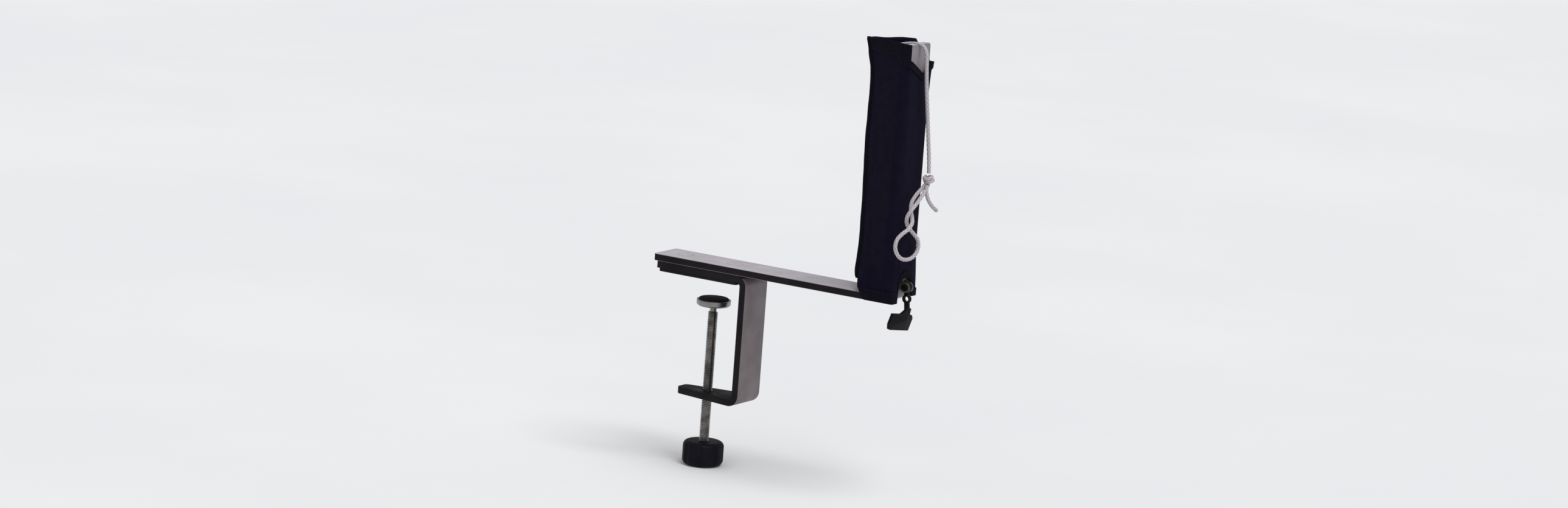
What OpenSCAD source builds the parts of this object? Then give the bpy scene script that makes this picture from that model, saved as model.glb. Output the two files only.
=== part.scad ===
// Table tennis net clamp: a strip-steel post on a screw clamp, with its net sleeve and cord.
// Millimetres. The origin lies on the table top, on the axis of the clamping screw.
// +X points out from the table, +Y along the table's length and +Z up.

/* [Strip steel] */
// Width of the strip
strip_w = 24; // [18:0.5:26]
// Thickness of the strip
strip_t = 4; // [3:0.25:5]
// Rounding of the strip's cut corners
corner_r = 2; // [0.5:0.25:4]

/* [Arm and upright] */
// Reach of the arm inboard of the screw's axis
arm_inboard = 36; // [32:1:60]
// From the bracket web's inner face to the upright's outer face
overhang = 100; // [80:1:150]
// Height of the upright's top above the table top
net_h = 154; // [120:1:180]
// Inside radius of the bend between arm and upright
arm_bend_r = 3; // [2:0.5:5]
// Width of the cord's seat in the upright's top edge
cord_seat_w = 5; // [3.5:0.5:8]
// Depth of the cord's seat
cord_seat_h = 1.3; // [0.8:0.1:4]

/* [Clamp bracket] */
// Overall height of the bracket
bracket_h = 77; // [60:1:100]
// From the screw's axis to the web's inner face
throat = 24; // [18:1:40]
// Inside radius of the bracket's two bends
bracket_bend_r = 2.5; // [1.5:0.5:4]
// How far the upper flange stops short of the arm's end
flange_inset = 3; // [0:0.5:8]
// Reach of the lower flange beyond the screw's axis
lower_reach = 18; // [14:1:30]
// Width of the lower flange at its free end
lower_tip_w = 10.5; // [8:0.5:16]
// Corner cut off the lower flange's free end
lower_tip_cut = 1.6; // [0.5:0.1:3]
// Thickness of the rubber pad on the table top
pad_t = 2; // [1:0.25:4]
// Margin of steel left round the rubber pad
pad_margin = 0.6; // [0:0.1:2]
// Shank diameter of the flush rivets
rivet_d = 5; // [4:0.5:6]
// Head diameter of the flush rivets
rivet_head_d = 9; // [8:0.5:11]
// Distance between the two flush rivets
rivet_gap = 34; // [20:1:44]

/* [Clamping screw] */
// Thread diameter
screw_d = 6; // [5:0.5:8]
// Free play of the screw in the lower flange, on the radius
thread_play = 0.05; // [0.02:0.01:0.1]
// Thickness of the table held at rest
table_t = 12; // [8:0.5:30]
// Screw that shows between lower flange and knob
screw_show = 26; // [10:1:40]
// Diameter of the neck that carries the foot
neck_d = 3.9; // [3:0.1:4.4]
// Diameter of the riveted-over tip
tip_d = 5.8; // [5:0.1:6.4]
// Across flats of the hex head
hex_af = 10; // [9:0.5:12]
// Height of the hex head
hex_h = 4; // [3:0.5:5]

/* [Thrust foot] */
// Outside diameter of the cup
foot_d = 20; // [16:0.5:24]
// Wall of the cup
cup_wall = 1.2; // [0.8:0.1:2]
// Floor of the cup
cup_floor = 1.2; // [0.8:0.1:2]
// Depth of the cup's recess
cup_depth = 2.5; // [2:0.25:4]
// How far the rubber facing stands out of the cup
facing_proud = 1; // [0.5:0.25:2]
// Play between screw and foot, along the screw and on the radius
foot_play = 0.08; // [0.04:0.01:0.1]

/* [Knob] */
// Diameter of the knob
knob_d = 24; // [18:0.5:32]
// Height of the knob
knob_h = 14; // [12:0.5:22]
// Number of grip flutes
knob_flutes = 8; // [5:1:12]
// Radius of one flute
flute_r = 3.4; // [2:0.1:5]
// Depth of one flute
flute_depth = 0.9; // [0.4:0.1:1.5]
// Rounding of the knob's rims
knob_round = 3; // [1:0.25:4]
// Diameter of the push-in cap
cap_d = 14.5; // [13.5:0.5:16]
// Thickness of the cap's disc
cap_t = 1.6; // [1:0.2:2.4]

/* [Tension lever] */
// Height of the hinge pin above the arm's under side
pivot_h = 9; // [7.5:0.25:14]
// Distance of the hinge pin from the face of the hinge bracket's plate
pivot_out = 2.8; // [2.8:0.1:5]
// Diameter of the hinge pin
pin_d = 2.5; // [2:0.1:3]
// Thickness of the lever's stem, along the hinge pin
lever_t = 2; // [1.5:0.25:4]
// Width of the lever's stem, seen from the side
stem_w = 2.8; // [2.4:0.1:4.5]
// Radius of the lever's knuckle
knuckle_r = 2.5; // [2.2:0.1:2.5]
// Length from the hinge pin to the paddle
stem_l = 15.5; // [12:0.5:20]
// Length of the paddle
paddle_l = 9.5; // [8:0.5:16]
// Width of the paddle
paddle_w = 24.5; // [14:0.5:28]
// Thickness of the paddle
paddle_t = 2.2; // [1.6:0.1:3]
// Lean of the paddle back towards the table
paddle_tilt = 14; // [0:1:20]
// Turn of the paddle about the line out from the upright, its long side up
paddle_turn = 9; // [0:1:15]
// Diameter of the cord hole in the stem
eye_d = 2.8; // [2.4:0.1:3.2]
// How far the cord hole stands out from the hinge pin
eye_out = 0.6; // [0:0.1:1.5]
// Depth of the cord hole below the hinge pin
eye_down = 6.6; // [6:0.1:8]
// How far the stem's lower end stands out from the hinge pin
foot_out = 1.3; // [0:0.1:2.5]
// Sheet thickness of the hinge bracket
hinge_t = 1; // [1:0.1:1.6]
// Width of the hinge bracket's plate
hinge_w = 12; // [9:0.5:14]
// Height of the hinge bracket's plate
hinge_h = 21; // [18:0.5:26]
// Shank diameter of the hinge bracket's rivets
hinge_rivet_d = 3; // [2.5:0.1:4]
// Height of the lower hinge rivet above the hinge pin
hinge_rivet_up = 6.5; // [6:0.5:8]
// Distance of the upper hinge rivet from the plate's top
hinge_rivet_down = 3.5; // [3:0.25:5]

/* [Sleeve] */
// Thickness of the cloth
cloth_t = 1; // [0.6:0.1:1.5]
// Play between the cloth and the steel inside it
sleeve_play = 0.35; // [0.3:0.05:1]
// Width of the sleeve at its top, over the seam tape
sleeve_top_w = 31; // [28:0.5:40]
// Width of the sleeve at its bottom, over the seam tape
sleeve_bottom_w = 29.5; // [26:0.5:36]
// Height of the skirt that opens over the arm
skirt_h = 5; // [4:0.5:12]
// Width of the sleeve at the skirt's lower edge
skirt_w = 19; // [14:0.5:22]
// Depth of the top notch at its straight sides
notch_side = 9; // [4:0.5:14]
// Depth of the top notch in the middle
notch_mid = 17; // [8:0.5:24]
// Width of the bottom notch round the lever
lever_notch_w = 15; // [12:0.5:17]
// Height of the bottom notch round the lever
lever_notch_h = 14.5; // [14:0.5:22]
// Height of the hems
hem_h = 7; // [4:0.5:12]
// Thickness of a hem
hem_t = 0.5; // [0.3:0.1:1]
// Width of the seam tape on the net side
seam_tape_w = 4; // [3:0.5:6]

/* [Cord] */
// Diameter of the cord
cord_d = 2.3; // [1.5:0.1:2.6]
// Radius of the cord's knot
knot_r = 3.4; // [2.5:0.1:4.5]

/* [Hidden] */
$fn = 64;

// A cut that runs past a face, and the gap of a light push fit
past = 1;
fit = 0.02;
side_gap = 0.3;

// Strip and bracket levels
web_in_x = throat;
web_out_x = throat + strip_t;
post_out_x = throat + overhang;
post_in_x = post_out_x - strip_t;
flange_z = pad_t;
arm_z = flange_z + strip_t;
arm_top_z = arm_z + strip_t;
lower_z = arm_z - bracket_h;
flange_end_x = -arm_inboard + flange_inset;
rivet_mid_x = (flange_end_x + web_in_x) / 2;
rivet_xs = [rivet_mid_x - rivet_gap / 2, rivet_mid_x + rivet_gap / 2];

// Foot and screw levels
foot_top_z = -table_t;
recess_z = foot_top_z - facing_proud - cup_depth;
cup_z = recess_z - cup_floor;
shoulder_z = cup_z - foot_play;
washer_z = recess_z + foot_play;
washer_t = 0.6;
washer_d = tip_d + 1.2;
tip_h = 0.9;
pocket_gap = 0.6;
knob_top_z = lower_z - screw_show;
knob_z = knob_top_z - knob_h;
plug_h = 1;
hex_z = knob_z + cap_t + plug_h;
rod_d = screw_d - 2 * thread_play;

// Lever and hinge
hinge_face_x = post_out_x + hinge_t;
pivot_x = hinge_face_x + pivot_out;
pivot_z = arm_z + pivot_h;
pin_play = 0.06;
hinge_z = arm_z + strip_t + arm_bend_r + 0.5;
ear_in = lever_t / 2 + side_gap;
ear_out = ear_in + hinge_t;
ear_r = 3;
ear_root_down = 0.8;
hinge_rivet_zs = [pivot_z + hinge_rivet_up, hinge_z + hinge_h - hinge_rivet_down];
hinge_rivet_head_d = hinge_rivet_d + 2;
hinge_rivet_head_h = 0.8;
hinge_rivet_cone = (hinge_rivet_head_d - hinge_rivet_d) / 2;

// Sleeve
cloth_in = strip_w / 2 + sleeve_play;
cloth_out = cloth_in + cloth_t;
sleeve_in_x = hinge_face_x + sleeve_play;
sleeve_out_x = sleeve_in_x + cloth_t;
full_x = post_in_x - 0.5;
seam_in = cord_d / 2 + 0.1;
seam_out = seam_in + cloth_t;
tape_reach = hem_t + seam_tape_w;
top_seam_x = post_out_x - sleeve_top_w + tape_reach;
bottom_seam_x = post_out_x - sleeve_bottom_w + tape_reach;
sleeve_top_z = net_h;
sleeve_bottom_z = arm_z;
hem_clear_z = arm_top_z + 0.4;
skirt_z = hem_clear_z + skirt_h;
skirt_seam_x = post_out_x - skirt_w;
notch_x = (post_out_x + sleeve_in_x) / 2;
notch_l = sleeve_out_x + hem_t + past - notch_x;
slice = 0.01;

// ---- shared shapes ----

// Quarter ring of a bend in the strip, centred on the origin, in the +X +Y quadrant
module bend(r_in) {
    intersection() {
        difference() {
            circle(r_in + strip_t);
            circle(r_in);
        }
        square(r_in + strip_t + past);
    }
}

// Rectangle from [x0, y0] to [x1, y1] with true round corners
module round_rect(x0, y0, x1, y1, r) {
    translate([x0 + r, y0])
        square([x1 - x0 - 2 * r, y1 - y0]);
    translate([x0, y0 + r])
        square([x1 - x0, y1 - y0 - 2 * r]);
    for (x = [x0 + r, x1 - r], y = [y0 + r, y1 - r])
        translate([x, y])
            circle(r);
}

// Side profile in X and Z, given width w along Y and centred on it
module side_profile(w) {
    translate([0, w / 2, 0])
        rotate([90, 0, 0])
            linear_extrude(w)
                children();
}

// Flush rivet between two levels, grown by g on every side
module flush_rivet(z0, z1, g) {
    shank_r = rivet_d / 2 + g;
    head_r = rivet_head_d / 2 + g;
    cone_h = head_r - shank_r;
    translate([0, 0, z0])
        cylinder(h = z1 - z0, r = shank_r);
    translate([0, 0, z1 - cone_h])
        cylinder(h = cone_h, r1 = shank_r, r2 = head_r);
    translate([0, 0, z0])
        cylinder(h = cone_h, r1 = head_r, r2 = shank_r);
}

// Closed tube of radius r swept along points, with a ring of sides at each point
module tube(points, r, sides) {
    n = len(points);
    dirs = [for (i = [0 : n - 1]) unit(points[min(i + 1, n - 1)] - points[max(i - 1, 0)])];
    first = unit(cross(dirs[0], abs(dirs[0][1]) < 0.9 ? [0, 1, 0] : [1, 0, 0]));
    norms = carried(dirs, first);
    verts = [for (i = [0 : n - 1], k = [0 : sides - 1])
        points[i] + r * (cos(360 * k / sides) * norms[i]
                         + sin(360 * k / sides) * cross(dirs[i], norms[i]))];
    walls = [for (i = [0 : n - 2], k = [0 : sides - 1])
        [i * sides + k, i * sides + (k + 1) % sides,
         (i + 1) * sides + (k + 1) % sides, (i + 1) * sides + k]];
    start_cap = [for (k = [0 : sides - 1]) sides - 1 - k];
    end_cap = [for (k = [0 : sides - 1]) (n - 1) * sides + k];
    polyhedron(verts, concat([start_cap], walls, [end_cap]), convexity = 10);
}

function unit(v) = v / norm(v);

// A normal carried from ring to ring without twist
function carried(dirs, first, i = 0) =
    i == len(dirs) ? [] :
    let (n = unit(first - (first * dirs[i]) * dirs[i]))
    concat([n], carried(dirs, n, i + 1));

// Smooth curve through the points, with steps rings from one point to the next
function smooth(p, steps) = concat(
    [for (i = [0 : len(p) - 2], s = [0 : steps - 1])
        between(p[max(i - 1, 0)], p[i], p[i + 1], p[min(i + 2, len(p) - 1)], s / steps)],
    [p[len(p) - 1]]);

function between(a, b, c, d, t) =
    0.5 * (2 * b + (c - a) * t + (2 * a - 5 * b + 4 * c - d) * t * t
           + (3 * b - a - 3 * c + d) * t * t * t);

// ---- frame ----

// Strip bent up at its outer end, with a seat for the cord in its top edge
module arm_and_upright() {
    color([0.70, 0.69, 0.70])
    difference() {
        intersection() {
            side_profile(strip_w) {
                bend_x = post_in_x - arm_bend_r;
                bend_z = arm_top_z + arm_bend_r;
                translate([-arm_inboard, arm_z])
                    square([bend_x + arm_inboard, strip_t]);
                translate([bend_x, bend_z])
                    mirror([0, 1])
                        bend(arm_bend_r);
                translate([post_in_x, bend_z])
                    square([strip_t, net_h - bend_z]);
            }
            // round corners at the arm's end
            translate([0, 0, arm_z - past])
                linear_extrude(net_h)
                    round_rect(-arm_inboard, -strip_w / 2,
                               post_out_x + 2 * corner_r, strip_w / 2, corner_r);
            // round corners at the upright's top
            translate([-arm_inboard - past, 0, 0])
                rotate([90, 0, 90])
                    linear_extrude(post_out_x + arm_inboard + 2 * past)
                        round_rect(-strip_w / 2, arm_z - 2 * corner_r, strip_w / 2, net_h, corner_r);
        }
        for (x = rivet_xs)
            translate([x, 0, 0])
                flush_rivet(flange_z, arm_top_z, fit);
        for (z = hinge_rivet_zs)
            translate([post_in_x - past, 0, z])
                rotate([0, 90, 0])
                    cylinder(h = strip_t + 2 * past, d = hinge_rivet_d + 2 * fit);
        cord_seat();
    }
}

// Round-bottomed seat for the cord across the upright's top edge
module cord_seat() {
    seat_r = cord_seat_w / 2;
    translate([post_in_x - past, 0, net_h - cord_seat_h + seat_r])
        rotate([0, 90, 0])
            cylinder(h = strip_t + 2 * past, r = seat_r);
}

// C-shaped strip: upper flange under the arm, web past the table's edge, tapering lower flange
module clamp_bracket() {
    bend_x = web_in_x - bracket_bend_r;
    color([0.44, 0.41, 0.42])
    difference() {
        intersection() {
            side_profile(strip_w) {
                translate([flange_end_x, flange_z])
                    square([bend_x - flange_end_x, strip_t]);
                translate([bend_x, flange_z - bracket_bend_r])
                    bend(bracket_bend_r);
                translate([web_in_x, lower_z + strip_t + bracket_bend_r])
                    square([strip_t, bracket_h - 2 * (strip_t + bracket_bend_r)]);
                translate([bend_x, lower_z + strip_t + bracket_bend_r])
                    mirror([0, 1])
                        bend(bracket_bend_r);
                translate([-lower_reach, lower_z])
                    square([bend_x + lower_reach, strip_t]);
            }
            union() {
                // straight-sided above the lower flange
                translate([flange_end_x - past, -strip_w / 2, lower_z + strip_t + bracket_bend_r])
                    cube([web_out_x - flange_end_x + 2 * past, strip_w, bracket_h]);
                lower_outline();
            }
        }
        translate([0, 0, lower_z - past])
            cylinder(h = strip_t + 2 * past, d = screw_d);
        for (x = rivet_xs)
            translate([x, 0, 0])
                flush_rivet(flange_z, arm_top_z, fit);
    }
}

// Plan outline of the lower flange: full width at the web, narrow with cut corners at the end
module lower_outline() {
    tip = lower_tip_w / 2;
    cut = lower_tip_cut;
    full = strip_w / 2;
    translate([0, 0, lower_z - past])
        linear_extrude(strip_t + bracket_bend_r + 2 * past)
            polygon([[-lower_reach + cut, -tip], [web_in_x - bracket_bend_r, -full],
                     [web_out_x + past, -full], [web_out_x + past, full],
                     [web_in_x - bracket_bend_r, full], [-lower_reach + cut, tip],
                     [-lower_reach, tip - cut], [-lower_reach, cut - tip]]);
}

module bracket_rivets() {
    color([0.62, 0.61, 0.62])
    for (x = rivet_xs)
        translate([x, 0, 0])
            flush_rivet(flange_z, arm_top_z, 0);
}

// Rubber pad glued under the upper flange
module table_pad() {
    half = strip_w / 2 - pad_margin;
    color([0.08, 0.08, 0.09])
    linear_extrude(pad_t)
        round_rect(flange_end_x + pad_margin, -half,
                   web_in_x - bracket_bend_r - pad_margin, half, corner_r);
}

// Hinge bracket: a plate riveted to the upright with two ears for the pin
module lever_bracket() {
    color([0.75, 0.76, 0.74])
    difference() {
        union() {
            translate([post_out_x, 0, 0])
                rotate([90, 0, 90])
                    linear_extrude(hinge_t)
                        round_rect(-hinge_w / 2, hinge_z, hinge_w / 2, hinge_z + hinge_h, corner_r);
            for (side = [-1, 1])
                translate([0, side * (ear_in + ear_out) / 2, 0])
                    side_profile(hinge_t)
                        ear_outline();
        }
        translate([pivot_x, -ear_out - past, pivot_z])
            rotate([-90, 0, 0])
                cylinder(h = 2 * (ear_out + past), d = pin_d + 2 * fit);
        for (z = hinge_rivet_zs)
            translate([0, 0, z])
                rotate([0, 90, 0])
                    sunk_shank(post_out_x - past, hinge_face_x, fit);
    }
}

// Rivet shank from x0 to x1 with its countersunk end at x1, grown by g
module sunk_shank(x0, x1, g) {
    translate([0, 0, x0])
        cylinder(h = x1 - x0, d = hinge_rivet_d + 2 * g);
    translate([0, 0, x1 - hinge_rivet_cone])
        cylinder(h = hinge_rivet_cone, d1 = hinge_rivet_d + 2 * g, d2 = hinge_rivet_head_d + 2 * g);
}

// One ear in X and Z: a round end about the pin and a root on the plate, below the rivet's head
module ear_outline() {
    root_x = hinge_face_x - hinge_t / 2;
    root_top = hinge_rivet_up - hinge_rivet_head_d / 2 - side_gap;
    translate([pivot_x, pivot_z])
        circle(ear_r);
    polygon([[root_x, pivot_z - ear_root_down], [pivot_x, pivot_z - ear_r],
             [pivot_x, pivot_z + ear_r], [root_x, pivot_z + root_top]]);
}

module lever_bracket_rivets() {
    color([0.78, 0.78, 0.78])
    for (z = hinge_rivet_zs)
        translate([0, 0, z])
            rotate([0, 90, 0]) {
                sunk_shank(post_in_x, hinge_face_x, 0);
                translate([0, 0, post_in_x])
                    rotate([180, 0, 0])
                        pan_head(hinge_rivet_head_d, hinge_rivet_head_h);
            }
}

// Low rivet head of diameter d and height h with a rounded rim, standing on z = 0
module pan_head(d, h) {
    rotate_extrude()
        intersection() {
            union() {
                square([d / 2 - h / 2, h]);
                square([d / 2, h / 2]);
                translate([d / 2 - h / 2, h / 2])
                    circle(h / 2);
            }
            square([d, h]);
        }
}

// Hinge pin with a small head outside each ear
module lever_pin() {
    head_d = pin_d + 1.6;
    head_h = 0.7;
    color([0.80, 0.80, 0.78])
    translate([pivot_x, 0, pivot_z])
        rotate([-90, 0, 0]) {
            translate([0, 0, -ear_out])
                cylinder(h = 2 * ear_out, d = pin_d);
            translate([0, 0, ear_out])
                pan_head(head_d, head_h);
            translate([0, 0, -ear_out])
                rotate([180, 0, 0])
                    pan_head(head_d, head_h);
        }
}

// ---- clamping screw ----

// Screw: hex head in the knob, thread, neck for the foot and riveted-over tip
module clamp_screw() {
    lead = 0.8;
    color([0.55, 0.55, 0.56])
    union() {
        translate([0, 0, hex_z])
            cylinder(h = hex_h, d = hex_af / cos(30), $fn = 6);
        translate([0, 0, hex_z])
            cylinder(h = shoulder_z - lead - hex_z, d = rod_d);
        translate([0, 0, shoulder_z - lead])
            cylinder(h = lead, d1 = rod_d, d2 = rod_d - 1.2);
        translate([0, 0, shoulder_z - lead])
            cylinder(h = washer_z + washer_t + tip_h / 2 - shoulder_z + lead, d = neck_d);
        translate([0, 0, washer_z + washer_t])
            pan_head(tip_d, tip_h);
    }
}

// Fluted knob with a hex pocket for the screw's head
module knob() {
    pocket_d = (hex_af + 2 * fit) / cos(30);
    color([0.09, 0.08, 0.12])
    difference() {
        translate([0, 0, knob_z])
            rotate_extrude()
                intersection() {
                    round_rect(-knob_d / 2, 0, knob_d / 2, knob_h, knob_round);
                    square([knob_d, knob_h]);
                }
        for (k = [0 : knob_flutes - 1])
            rotate([0, 0, (k + 0.5) * 360 / knob_flutes])
                translate([knob_d / 2 + flute_r - flute_depth, 0, knob_z - past])
                    cylinder(h = knob_h + 2 * past, r = flute_r);
        translate([0, 0, knob_z - past])
            cylinder(h = knob_h + 2 * past, d = rod_d + 2 * fit);
        translate([0, 0, knob_z - past])
            cylinder(h = hex_z + hex_h + fit - knob_z + past, d = pocket_d, $fn = 6);
        translate([0, 0, knob_z - past])
            cylinder(h = cap_t + past, d = cap_d + 2 * fit);
    }
}

// Push-in cap: a disc over the hex pocket with a short plug
module knob_cap() {
    cap_r = cap_d / 2;
    edge = 0.5;
    color([0.11, 0.10, 0.13])
    translate([0, 0, knob_z]) {
        rotate_extrude()
            polygon([[0, 0], [cap_r - edge, 0], [cap_r, edge], [cap_r, cap_t], [0, cap_t]]);
        cylinder(h = hex_z - knob_z - fit, d = hex_af - 1);
    }
}

// Washer under the riveted-over tip, inside the foot
module swivel_washer() {
    color([0.72, 0.72, 0.72])
    translate([0, 0, washer_z])
        difference() {
            cylinder(h = washer_t, d = washer_d);
            translate([0, 0, -past])
                cylinder(h = washer_t + 2 * past, d = neck_d + 2 * fit);
        }
}

// ---- thrust foot ----

// Pressed cup with a hole for the screw's neck
module thrust_cup() {
    rim_z = recess_z + cup_depth;
    edge = 1;
    color([0.60, 0.60, 0.61])
    difference() {
        translate([0, 0, cup_z])
            rotate_extrude()
                polygon([[0, 0], [foot_d / 2 - edge, 0], [foot_d / 2, edge],
                         [foot_d / 2, rim_z - cup_z], [0, rim_z - cup_z]]);
        translate([0, 0, recess_z])
            cylinder(h = cup_depth + past, d = foot_d - 2 * cup_wall);
        translate([0, 0, cup_z - past])
            cylinder(h = cup_floor + 2 * past, d = neck_d + 2 * foot_play);
    }
}

// Rubber facing with a pocket for washer and tip
module thrust_pad() {
    facing_t = cup_depth + facing_proud;
    facing_r = foot_d / 2 - cup_wall - fit;
    edge = 0.5;
    color([0.10, 0.10, 0.11])
    difference() {
        translate([0, 0, recess_z])
            rotate_extrude()
                polygon([[0, 0], [facing_r, 0], [facing_r, facing_t - edge],
                         [facing_r - edge, facing_t], [0, facing_t]]);
        translate([0, 0, recess_z - past])
            cylinder(h = past + foot_play + washer_t + tip_h + pocket_gap, d = washer_d + 2 * pocket_gap);
    }
}

// ---- tension lever ----

// Stem with knuckle and cord eye, ending in a thumb paddle set across it
module tension_lever() {
    color([0.10, 0.09, 0.10])
    translate([pivot_x, 0, pivot_z])
        difference() {
            union() {
                side_profile(lever_t)
                    stem_outline();
                paddle();
            }
            lever_hole(0, 0, pin_d + 2 * pin_play);
            lever_hole(eye_out, -eye_down, eye_d);
        }
}

module lever_hole(x, z, d) {
    translate([x, -lever_t / 2 - past, z])
        rotate([-90, 0, 0])
            cylinder(h = lever_t + 2 * past, d = d);
}

// Side outline of the stem in X and Z, about the hinge pin
module stem_outline() {
    half = stem_w / 2;
    eye_wall = 1.2;
    neck_z = -stem_l + 2;
    root = half - 0.6;
    root_z = -stem_l - 3;
    circle(knuckle_r);
    translate([eye_out, -eye_down])
        circle(eye_d / 2 + eye_wall);
    polygon([[-half, 0], [half, 0], [foot_out + half, neck_z], [foot_out + root, root_z],
             [foot_out - root, root_z], [foot_out - half, neck_z]]);
}

// Thumb paddle across the stem's lower end: turned, leaning back, one corner cut
module paddle() {
    left = -0.71 * paddle_w;
    right = left + paddle_w;
    corner = 2;
    gusset = 6;
    neck = lever_t / 2;
    neck_z = 4;
    translate([foot_out, 0, -stem_l])
        rotate([0, paddle_tilt, 0])
            translate([-paddle_t / 2, 0, 0])
                rotate([90, 0, 90])
                    rotate([0, 0, -paddle_turn])
                        linear_extrude(paddle_t)
                            polygon([[left, 0], [-neck - gusset, 0], [-neck, neck_z], [neck, neck_z],
                                     [2 * neck, 0], [right - corner, 0], [right, -corner],
                                     [right, -paddle_l], [left + corner, -paddle_l],
                                     [left, -paddle_l + 1.5 * corner]]);
}

// ---- sleeve ----

// How far out the seam stands at height z
function seam_at(z) = bottom_seam_x
    + (top_seam_x - bottom_seam_x) * (z - sleeve_bottom_z) / (sleeve_top_z - sleeve_bottom_z);

// Plan slice at height z: narrow at the seam, full width at the upright
module wedge_slice(z, seam_x, wide, narrow, out_x) {
    translate([0, 0, z])
        linear_extrude(slice)
            polygon([[seam_x, -narrow], [full_x, -wide], [out_x, -wide],
                     [out_x, wide], [full_x, wide], [seam_x, narrow]]);
}

// Solid of the whole sleeve up to level top: grown outward by g, and at the seam by s.
// Below the skirt's line it opens from the narrow seam to the arm's width.
module sleeve_body(g, s, top) {
    wide = cloth_in + g;
    narrow = seam_in + g;
    out_x = sleeve_in_x + g;
    hull() {
        wedge_slice(skirt_z, seam_at(skirt_z) + s, wide, narrow, out_x);
        wedge_slice(top - slice, seam_at(top) + s, wide, narrow, out_x);
    }
    hull() {
        wedge_slice(skirt_z, seam_at(skirt_z) + s, wide, narrow, out_x);
        translate([skirt_seam_x + s, -wide, hem_clear_z])
            cube([out_x - skirt_seam_x - s, 2 * wide, slice]);
    }
    translate([skirt_seam_x + s, -wide, sleeve_bottom_z])
        cube([out_x - skirt_seam_x - s, 2 * wide, hem_clear_z + slice - sleeve_bottom_z]);
}

// Everything the cloth is cut back from: the inside, the mouth over the arm, both notches
module sleeve_cuts() {
    mouth_x = skirt_seam_x - 2 * hem_t - past;
    sleeve_body(0, cloth_t, sleeve_top_z + past);
    translate([mouth_x, -cloth_in, sleeve_bottom_z - past])
        cube([sleeve_in_x - mouth_x, 2 * cloth_in, hem_clear_z - sleeve_bottom_z + past]);
    top_notch();
    lever_notch();
}

// Notch in the sleeve's top: it takes off both outer corners and ends in a V in the outer panel
module top_notch() {
    half = cloth_in;
    side_z = sleeve_top_z - notch_side;
    translate([notch_x, 0, 0])
        rotate([90, 0, 90])
            linear_extrude(notch_l)
                polygon([[-strip_w, sleeve_top_z + past], [-strip_w, side_z], [-half, side_z],
                         [0, sleeve_top_z - notch_mid], [half, side_z], [strip_w, side_z],
                         [strip_w, sleeve_top_z + past]]);
}

// Round-topped notch in the outer panel's bottom, clear of the hinge
module lever_notch() {
    half = lever_notch_w / 2;
    translate([notch_x, 0, 0])
        rotate([90, 0, 90])
            linear_extrude(notch_l) {
                translate([-half, sleeve_bottom_z - past])
                    square([lever_notch_w, lever_notch_h - half + past]);
                translate([0, sleeve_bottom_z + lever_notch_h - half])
                    circle(half);
            }
}

module sleeve() {
    color([0.09, 0.08, 0.14])
    difference() {
        sleeve_body(cloth_t, 0, sleeve_top_z);
        sleeve_cuts();
    }
}

// Folded band over the cloth between two levels
module hem(z0, z1) {
    intersection() {
        difference() {
            sleeve_body(cloth_t + hem_t, -hem_t, sleeve_top_z);
            sleeve_body(cloth_t, 0, sleeve_top_z);
            sleeve_cuts();
        }
        translate([top_seam_x - 2 * hem_t, -strip_w, z0])
            cube([2 * sleeve_top_w, 2 * strip_w, z1 - z0]);
    }
}

module sleeve_top_hem() {
    color([0.12, 0.11, 0.17])
    hem(sleeve_top_z - hem_h, sleeve_top_z - slice);
}

module sleeve_bottom_hem() {
    color([0.12, 0.11, 0.17])
    hem(sleeve_bottom_z, sleeve_bottom_z + hem_h);
}

// Flat tape along the seam, where the net is sewn on
module sleeve_seam_tape() {
    tape_t = 1.8;
    low_x = seam_at(skirt_z) - hem_t;
    high_x = top_seam_x - hem_t;
    color([0.10, 0.09, 0.15])
    side_profile(tape_t)
        polygon([[low_x - seam_tape_w, skirt_z], [low_x, skirt_z],
                 [high_x, sleeve_top_z], [high_x - seam_tape_w, sleeve_top_z]]);
}

// ---- cord ----

// Routes are measured from the upright's outer face, its middle line and its top
function by_upright(route) = [for (p = route) [post_out_x + p[0], p[1], net_h + p[2]]];

// Route from the sleeve's seam, over the upright's top edge and down to the knot
cord_route = by_upright([[-25, 0, -6.3], [-21, 0, -4.8], [-17, 0, -3.4], [-10, 0, -1.2],
                         [-4.5, -0.1, -0.2], [0, -0.2, -0.1], [3, -0.5, -1.3], [4.9, -0.8, -3.9],
                         [5.6, -1, -8], [5.9, -0.8, -14], [6.3, 0.2, -24], [6.9, 2, -37],
                         [7.7, 4, -52], [8.6, 5.4, -66], [9, 5.6, -73]]);

// The two strands below the knot cross twice and open into a loop
loop_route = by_upright([[8.4, 4.2, -79.4], [7.2, 1.2, -82.2], [6, -2.2, -85.6], [5.4, -5, -89.4],
                         [6, -6.3, -93.2], [7.4, -6.9, -96.8], [8.9, -8.8, -100.2], [9, -12.6, -103.2],
                         [7.6, -16.4, -105.6], [6.1, -19.2, -108.8], [5.6, -19.9, -113],
                         [5.6, -17.6, -117.2], [5.8, -13, -120.4], [6, -7.2, -121.8],
                         [6.4, -1.6, -121.3], [6.8, 2.4, -118.8], [7, 3.8, -115], [6.7, 2.6, -111],
                         [6, -0.8, -107.8], [5.4, -4.8, -104.6], [5.2, -8.2, -101], [6.2, -10.1, -97],
                         [8, -9.6, -93.2], [9.2, -6.8, -89.8], [9.7, -3, -86.4], [9.8, 1, -83.2],
                         [9.7, 4.2, -80.2]]);

// The knot's free end
tail_route = by_upright([[9.9, 2.6, -79.6], [10.5, 2, -83.4], [11.2, 3.6, -87.8], [11.9, 7.4, -91.8],
                         [12.6, 12.2, -95]]);

knot_at = [post_out_x + 9.3, 5.6, net_h - 76.8];
cord_sides = 8;

module cord() {
    color([0.80, 0.78, 0.78])
    tube(smooth(cord_route, 2), cord_d / 2, cord_sides);
}

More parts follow.
